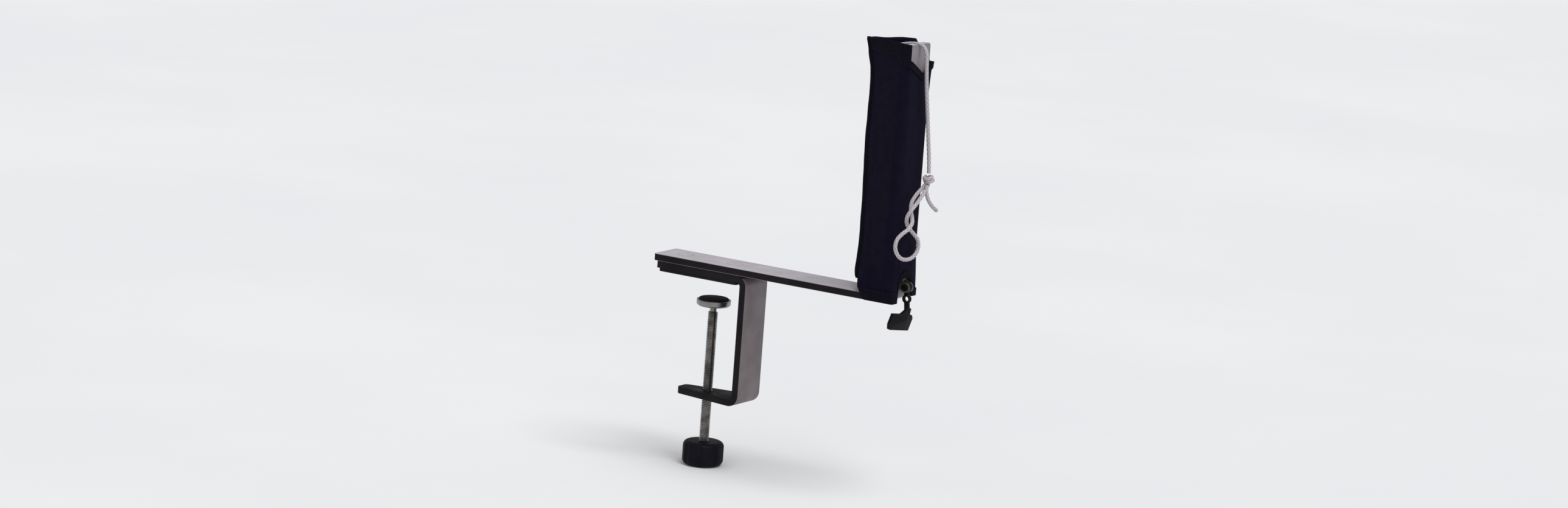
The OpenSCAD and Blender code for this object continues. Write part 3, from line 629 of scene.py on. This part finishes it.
def make_screw():
    """One turn's profile swept up the screw makes the thread. The core, neck, tip and head are one turned
    shape added to it; the head is closed inside the knob, and so is left round."""
    low_z, high_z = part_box("clamp_screw")[0].z / MM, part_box("clamp_screw")[1].z / MM
    start_z = KNOB_TOP - IN_KNOB
    root = SCREW_R - THREAD_DEEP
    shape = [(SCREW_R, 0.0), (SCREW_R, CREST_END), (root, ROOT_START), (root, ROOT_END), (SCREW_R, PITCH)]
    bm = bmesh.new()
    verts = [bm.verts.new(Vector((r, 0, start_z + z)) * MM) for r, z in shape]
    edges = [bm.edges.new(pair) for pair in zip(verts, verts[1:])]
    bmesh.ops.spin(bm, geom=verts + edges, cent=(0, 0, 0), axis=(0, 0, 1),
                   dvec=(0, 0, PITCH / TURN_STEPS * MM), angle=2 * math.pi * THREAD_TURNS,
                   steps=TURN_STEPS * THREAD_TURNS, use_merge=False)
    bmesh.ops.remove_doubles(bm, verts=bm.verts, dist=2e-6)
    shoulder = start_z + PITCH * THREAD_TURNS + 0.6
    head_top = low_z + HEAD_TALL
    core = [(0.0, low_z), (5.0, low_z), (HEAD_R, low_z + HEAD_CHAMFER), (HEAD_R, head_top - HEAD_CHAMFER),
            (5.0, head_top), (root, head_top), (root, shoulder - 0.3), (root, shoulder + 0.1),
            (NECK_R, shoulder + 0.4), (NECK_R, high_z - 0.9), (TIP_R - 0.2, high_z - 0.8),
            (TIP_R, high_z - 0.5), (TIP_R - 0.5, high_z - 0.1), (0.0, high_z)]
    ring = [bm.verts.new(Vector((r, 0, z)) * MM) for r, z in core]
    rods = [bm.edges.new(pair) for pair in zip(ring, ring[1:])]
    bmesh.ops.spin(bm, geom=ring + rods, cent=(0, 0, 0), axis=(0, 0, 1), dvec=(0, 0, 0), angle=2 * math.pi,
                   steps=CORE_STEPS, use_merge=True)
    bmesh.ops.remove_doubles(bm, verts=bm.verts, dist=1e-6)
    bmesh.ops.recalc_face_normals(bm, faces=bm.faces)
    piece = new_piece("clamping_screw_thread", bm, "screw")
    dress(piece, "screw")
    shade(piece, 34)
    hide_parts("clamp_screw")


make_screw()

# ---- cloth sleeve ----

CLOTH_T = 0.9
WIDE = STRIP_W / 2 + 1.35
NARROW = CORD_D / 2 + 1.1
OUT_X = POST_X + 2.35
FULL_X = POST_X - STRIP_T - 0.5
TAPE_W, TAPE_T = 4.0, 1.7
TAPE_LAP = 0.6
TAPE_EDGE = [(14, 93.4), (20, 92.8), (27, 93.4), (36, 94.2), (60, 94.1), (100, 93.1), (128, 93.6),
             (137, 93.0), (146, 90.9), (155, 88.7)]
SEAM_LOW = 15.4
SKIRT_X = POST_X - 19.0
SKIRT_AT = 0.26
OVER_ARM = ARM_TOP + 0.4
BOTTOM = ARM_Z + 0.4
TOP = NET_H - 0.1
NOTCH_NEAR, NOTCH_MID, NOTCH_FAR = NET_H - 8.4, NET_H - 17.3, NET_H - 10.7
TIP_Y = 3.2
FAR_LIFT = 2.4
ARCH_HALF, ARCH_H = 7.5, 14.5
HEM_H, NOTCH_HEM_H, HEM_T, HEM_LAP = 7.0, 4.0, 0.45, 0.1
BROAD_CREASE, FINE_CREASE, DRAWN_CREASE = 0.42, 0.14, 0.3
TAPE_HEIGHTS, TAPE_XS = zip(*TAPE_EDGE)


def ease(x, low, high):
    t = min(1.0, max(0.0, (x - low) / (high - low)))
    return t * t * (3 - 2 * t)


def blend(a, b, t):
    return a + (b - a) * t


def ease_line(x, low, high):
    """0 at low and 1 at high, straight between and held outside."""
    return min(1.0, max(0.0, (x - low) / (high - low)))


def tape_edge(z):
    """The seam tape's outer edge: upright, drawn out at the top by the net and flared over the arm."""
    k = min(len(TAPE_EDGE) - 2, max(0, int(np.searchsorted(TAPE_HEIGHTS, z)) - 1))
    t = (z - TAPE_HEIGHTS[k]) / (TAPE_HEIGHTS[k + 1] - TAPE_HEIGHTS[k])
    return blend(TAPE_XS[k], TAPE_XS[k + 1], ease(t, 0, 1) * 0.5 + 0.5 * min(1, max(0, t)))


def seam_at(z):
    return tape_edge(z) + TAPE_W - TAPE_LAP


def columns():
    """Places round the sleeve: from the seam along one side, across the outer panel and back along the
    other. They lie closer where the notch and the arch are cut."""
    half = [("nose", t) for t in (0.0, 0.4, 0.75, 0.95)]
    half += [("side", t) for t in np.linspace(0, 1, 46)]
    half += [("corner", t) for t in (0.03, 0.18, 0.34, 0.5, 0.64, 0.66, 0.82, 1.0)]
    half += [("outer", t) for t in (0.93, 0.86, 0.79, 0.73, 0.69, 0.668, 0.65, 0.61, 0.55, 0.48, 0.41,
                                    0.34, 0.27, 0.2, 0.13, 0.065)]
    return ([(kind, t, -1) for kind, t in half] + [("outer", 0.0, -1)]
            + [(kind, t, 1) for kind, t in reversed(half)])


def corner_r(z):
    """The cloth's outer corner: tight at the notch, round down the post and tight again over the arm."""
    return 1.5 + 2.3 * ease(z, 18, 40) * (1 - ease(z, 116, 145))


def outer_half(z):
    return WIDE - corner_r(z)


def slope_back(y, z):
    """How far the outer panel lies back from its flat middle: beside the hinge plate, and above it all
    over."""
    beside = 0.75 * ease(abs(y), 6.4, 11.5) * ease(z, 9, 24)
    above = 0.6 * ease(z, 38, 62)
    return max(beside, above) * (1 - ease(z, 136, 145))


def plan(kind, t, z, grow):
    """Outer face of the cloth at height z in X and Y (of the +Y side), grown outward by a layer's
    thickness."""
    wide, narrow, out_x, r = WIDE + grow, NARROW + grow, OUT_X + grow, corner_r(z)
    seam, start_x = seam_at(z) - 0.5 * grow, OUT_X + grow - corner_r(z)
    if kind == "nose":
        return seam + 1.2 * (1 - math.sqrt(1 - t * t)), narrow * t
    if kind == "side":
        x = blend(seam + 0.9, start_x, t)
        y = narrow + (wide - narrow) * min(1.0, (x - seam) / (FULL_X - seam)) ** 0.94
        lift = 1 - ease(z, low_edge(kind, t), 27)
        over_x = blend(seam + 0.9, SKIRT_X + 1.0, t / SKIRT_AT) if t < SKIRT_AT else x
        over_y = blend(narrow, wide, math.sin(math.pi / 2 * min(1.0, t / SKIRT_AT)) ** 0.8)
        return blend(x, over_x, 0.6 * lift), blend(y, over_y, lift)
    if kind == "corner":
        turn = math.pi / 2 * t
        y = wide - r + r * math.cos(turn)
        return start_x + r * math.sin(turn) - slope_back(y, z) * math.sin(turn), y
    y = (wide - r) * t
    return out_x - slope_back(y, z), y


def low_edge(kind, t, side=-1):
    """Height of the cloth's lower edge: over the arm at the seam, down its sides, up round the lever, and a
    little higher at the far outer corner."""
    if kind == "nose":
        return SEAM_LOW
    lift = FAR_LIFT if side > 0 else 0.0
    if kind == "side":
        over = blend(SEAM_LOW, OVER_ARM + 0.4, min(1.0, t / SKIRT_AT))
        return blend(over, BOTTOM, ease(t, SKIRT_AT - 0.02, SKIRT_AT + 0.13)) + lift * ease(t, 0.5, 1.0)
    y = outer_half(BOTTOM) * t
    if kind == "corner" or y >= ARCH_HALF:
        return BOTTOM + lift
    return ARM_Z + ARCH_H - ARCH_HALF + math.sqrt(ARCH_HALF ** 2 - y * y)


def high_edge(kind, t, side):
    """Height of the upper edge: it rises a little to the near corner, drops behind the post on the far side,
    and is cut to a V in the outer panel."""
    if kind == "outer":
        y = side * t * outer_half(NET_H)
        near, far = ease_line(y, TIP_Y, -outer_half(NET_H)), ease_line(y, TIP_Y, outer_half(NET_H))
        return NOTCH_MID + (NOTCH_NEAR - NOTCH_MID) * near + (NOTCH_FAR - NOTCH_MID) * far
    if kind == "corner":
        return NOTCH_FAR if side > 0 else NOTCH_NEAR if t > 0.65 else TOP + 0.9
    rise = 1.2 * ease(t, 0.1, 0.5) if kind == "side" else 0.0
    if side > 0 and t > 0.6 and kind == "side":
        return blend(blend(TOP + rise, TOP - 1.0, ease(t, 0.66, 0.7)), NOTCH_FAR, ease(t, 0.86, 0.93))
    return TOP + rise - (0.3 * ease(t, 0.8, 1.0) if kind == "side" else 0.0)


def creases(kind, t, x, y, z):
    """Soft unevenness of the hung cloth: broad hollows, fine ripples, and folds that run from the drawn-out
    top. Round the post the cloth only stands out, never in."""
    if kind == "nose":
        return 0.0
    broad = noise.noise(Vector((x * 0.045, y * 0.06, z * 0.021)))
    fine = noise.noise(Vector((x * 0.12, y * 0.1, z * 0.055)))
    down = NET_H - z
    fold = math.sin((x - 90) * 0.55 + down * 0.42)
    drawn = fold * math.exp(-down / 16) * math.exp(-(x - 92) / 12)
    amount = BROAD_CREASE * broad + FINE_CREASE * fine + DRAWN_CREASE * drawn
    held = ease(t, 0.6, 0.95) if kind == "side" else 1.0
    start = ease(t, 0, 0.1) if kind == "side" else 1.0
    return blend(amount, max(0.0, amount) * 0.6, held) * start * ease(z, BOTTOM, BOTTOM + 14)


def skin(column, z, grow=0.0):
    """The cloth's outer face as a point in millimetres, creases and all."""
    kind, t, side = column
    x, y = plan(kind, t, z, grow)
    near, far = plan(kind, max(0.0, t - 0.02), z, grow), plan(kind, min(1.0, t + 0.02), z, grow)
    out = Vector((near[1] - far[1], far[0] - near[0]))
    if kind == "side" and out.y < 0 or kind in ("corner", "outer") and out.x < 0:
        out = -out
    out = out.normalized() * creases(kind, t, x, side * y, z) if out.length > 1e-6 else Vector((0, 0))
    return Vector((x + out.x, side * (y + out.y), z))


COLUMNS = columns()
MAP_Z = 80
MAP_UNIT = 10


def cloth_band(name, grow, thick, bottom, top, rows, finish):
    """A grid wrapped round the sleeve between a lower and an upper edge, then thickened inward. Its map is
    measured round the sleeve at MAP_Z and up it."""
    count = len(COLUMNS)
    bm = bmesh.new()
    chart = bm.loops.layers.uv.new("UVMap")
    bmesh.ops.create_grid(bm, x_segments=count - 1, y_segments=rows, size=1.0)
    along = [0.0]
    for a, b in zip(COLUMNS, COLUMNS[1:]):
        along.append(along[-1] + (skin(b, MAP_Z) - skin(a, MAP_Z)).length)
    spot = {}
    for v in bm.verts:
        i, t = round((v.co.x + 1) / 2 * (count - 1)), (v.co.y + 1) / 2
        spot[v] = (i, blend(bottom(COLUMNS[i]), top(COLUMNS[i]), t))
    for face in bm.faces:
        for corner in face.loops:
            i, z = spot[corner.vert]
            corner[chart].uv = (along[i] / MAP_UNIT, z / MAP_UNIT)
    for v, (i, z) in spot.items():
        v.co = skin(COLUMNS[i], z, grow) * MM
    bmesh.ops.remove_doubles(bm, verts=bm.verts, dist=1e-7)
    piece = new_piece(name, bm, "sleeve")
    shell = piece.modifiers.new("cloth", "SOLIDIFY")
    shell.thickness = thick * MM
    shell.offset = -1.0
    dress(piece, finish)
    piece.data.shade_smooth()
    return piece


def low_of(column):
    return low_edge(*column)


def high_of(column):
    return high_edge(*column)


def top_hem_low(column):
    """Lower edge of the top hem: a band along the sides, turned down beside the notch and narrower under
    it."""
    kind, t, side = column
    if kind == "outer":
        return high_of(column) - NOTCH_HEM_H
    corner = (NOTCH_FAR if side > 0 else NOTCH_NEAR) - NOTCH_HEM_H
    if kind == "corner":
        return corner
    beside = ease(t, 0.7, 0.95) if kind == "side" else 0.0
    return blend(NET_H - HEM_H, corner, beside)


def top_hem_high(column):
    return high_of(column) + HEM_LAP


def bottom_hem_low(column):
    return low_of(column) - HEM_LAP


def bottom_hem_high(column):
    return max(ARM_Z + HEM_H, low_of(column) + NOTCH_HEM_H)


def tape_sway(z):
    """How far the seam tape sways from side to side at height z."""
    return 0.35 * noise.noise(Vector((1.7, 4.1, z * 0.06)))


TAPE_ROUND = 0.6
TAPE_CUTS = 90


def upright_edges(bm):
    return [e for e in bm.edges if abs(e.verts[0].co.z - e.verts[1].co.z) > 0.5]


def make_seam_tape():
    """The sewn edge: a folded tape down the seam, with rounded rims and corners."""
    bm = bmesh.new()
    chart = bm.loops.layers.uv.new("UVMap")
    bmesh.ops.create_cube(bm, size=1.0)
    bmesh.ops.scale(bm, verts=bm.verts, vec=(TAPE_W * MM, TAPE_T * MM, 1.0))
    bmesh.ops.bevel(bm, geom=upright_edges(bm), offset=TAPE_ROUND * MM, offset_type="OFFSET",
                    affect="EDGES", segments=3, profile=0.5, material=-1)
    bmesh.ops.subdivide_edges(bm, edges=upright_edges(bm), cuts=TAPE_CUTS, use_grid_fill=True)
    for v in bm.verts:
        z = blend(SEAM_LOW - 0.3, TOP, v.co.z + 0.5)
        end = ease(min(z - SEAM_LOW + 0.3, TOP - z), 0, 1.2)
        across = v.co.x / MM * blend(0.8, 1.0, end)
        ripple = 0.25 * noise.noise(Vector((0.3, 2.2, z * 0.11)))
        v.co.x = (tape_edge(z) + TAPE_W / 2 + across + ripple) * MM
        v.co.y = (v.co.y / MM * blend(0.7, 1.0, end) + tape_sway(z)) * MM
        v.co.z = z * MM
    for face in bm.faces:
        for corner in face.loops:
            at = corner.vert.co / MM
            corner[chart].uv = ((at.x + at.y) / MAP_UNIT, at.z / MAP_UNIT)
    bmesh.ops.recalc_face_normals(bm, faces=bm.faces)
    piece = new_piece("sleeve_seam_edge", bm, "sleeve")
    dress(piece, "hem")
    shade(piece, 50)
    return piece


STITCH, STITCH_GAP = 2.1, 0.9
STITCH_POINTS = 4
THREAD_HALF_W, THREAD_HALF_H = 0.19, 0.15
THREAD_PROUD = 0.02
STITCH_FROM_EDGE = 1.0
TAPE_ROW_AT, TAPE_ROW_END = 2.9, 1.5


def tape_row(side):
    """A row of points down one face of the seam tape."""
    row = []
    for z in np.linspace(SEAM_LOW + TAPE_ROW_END, TOP - TAPE_ROW_END, 200):
        y = side * (TAPE_T / 2 + THREAD_PROUD) + tape_sway(z)
        row.append(Vector((tape_edge(z) + TAPE_ROW_AT, y, z)))
    return row


def hem_row(side, height_of, kinds):
    """A row of points on the hem's face along one half of the sleeve."""
    row = []
    for kind, first, last in kinds:
        for t in np.linspace(first, last, 80):
            column = (kind, t, side)
            row.append(skin(column, height_of(column), HEM_T + THREAD_PROUD))
    return row


def top_seam(column):
    return top_hem_low(column) + STITCH_FROM_EDGE


def bottom_seam(column):
    return bottom_hem_high(column) - STITCH_FROM_EDGE


def make_stitches():
    """Lockstitches as small threads on the hems and down both sides of the tape."""
    rows = [tape_row(-1), tape_row(1)]
    for side in (-1, 1):
        rows.append(hem_row(side, top_seam, [("side", 0.03, 0.99)]))
        rows.append(hem_row(side, top_seam, [("corner", 0.1, 1.0), ("outer", 1.0, 0.0)]))
        rows.append(hem_row(side, bottom_seam, [("side", SKIRT_AT + 0.08, 1.0), ("corner", 0.1, 1.0),
                                                ("outer", 1.0, 0.74)]))
        rows.append(hem_row(side, bottom_seam, [("outer", 0.64, 0.0)]))
    bm = bmesh.new()
    for row in rows:
        line = evenly(np.array(row), (STITCH + STITCH_GAP) / STITCH_POINTS)
        for k in range(2, len(line) - 2, STITCH_POINTS):
            ahead = Vector(line[k + 1] - line[k - 1]).normalized()
            turn = ahead.to_track_quat("X", "Z").to_matrix().to_4x4()
            size = Matrix.Diagonal((STITCH / 2, THREAD_HALF_W, THREAD_HALF_H, 1.0))
            bmesh.ops.create_uvsphere(bm, u_segments=8, v_segments=5, radius=1.0,
                                      matrix=Matrix.Scale(MM, 4) @ Matrix.Translation(line[k]) @ turn @ size)
    piece = new_piece("sleeve_stitches", bm, "sleeve")
    dress(piece, "thread")
    piece.data.shade_smooth()
    return piece


sleeve = cloth_band("sleeve_cloth_shell", 0.0, CLOTH_T, low_of, high_of, 90, "cloth")
top_hem = cloth_band("sleeve_top_hem_fold", HEM_T, HEM_T, top_hem_low, top_hem_high, 10, "hem")
bottom_hem = cloth_band("sleeve_bottom_hem_fold", HEM_T, HEM_T, bottom_hem_low, bottom_hem_high, 12, "hem")
seam_tape = make_seam_tape()
stitches = make_stitches()
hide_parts("sleeve")
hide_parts("sleeve_top_hem")
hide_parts("sleeve_bottom_hem")
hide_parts("sleeve_seam_tape")

# ---- floor and light ----


FLOOR_HALF = 14.0
BELOW_KNOB = 0.3


def make_floor():
    """A pale floor just under the knob. It goes up and down with the foot, and so stays under the knob."""
    bm = bmesh.new()
    bmesh.ops.create_grid(bm, x_segments=1, y_segments=1, size=FLOOR_HALF)
    bmesh.ops.translate(bm, verts=bm.verts, vec=(0, 0, CAD_LO.z - BELOW_KNOB * MM))
    floor = new_piece("floor", bm, "foot")
    made, tree, bsdf = start_material("pale_floor", {"Roughness": 0.9})
    where = tree.nodes.new("ShaderNodeTexCoord").outputs["Object"]
    surface = place(tree, GRAIN, Vector=where, Grain=40.0, Blotch=3.0)
    tint = mix_colour(tree, surface.outputs["Tone"], linear(232, 232, 234), linear(236, 236, 237))
    tree.links.new(tint, bsdf.inputs["Base Color"])
    floor.data.materials.append(made)


LAMPS = [("key", (0.45, -0.12, 0.93), 1.9, 34), ("fill", (0.6, -0.8, 0.3), 0.25, 60)]
SKY_COLOUR, SKY_STRENGTH = (0.92, 0.93, 0.95, 1), 0.5


def make_lights():
    """Two broad suns, each given by the way to it, its strength and its spread, and an even sky."""
    for name, toward, strength, spread in LAMPS:
        data = bpy.data.lights.new(name, "SUN")
        data.energy = strength
        data.angle = math.radians(spread)
        lamp = bpy.data.objects.new(name, data)
        SCENE.collection.objects.link(lamp)
        lamp.rotation_mode = "QUATERNION"
        lamp.rotation_quaternion = (-Vector(toward)).to_track_quat("-Z", "Y")
    world = bpy.data.worlds.new("studio")
    world.use_nodes = True
    back = world.node_tree.nodes["Background"]
    back.inputs[0].default_value = SKY_COLOUR
    back.inputs[1].default_value = SKY_STRENGTH
    SCENE.world = world
    SCENE.view_settings.view_transform = "Standard"


make_floor()
make_lights()
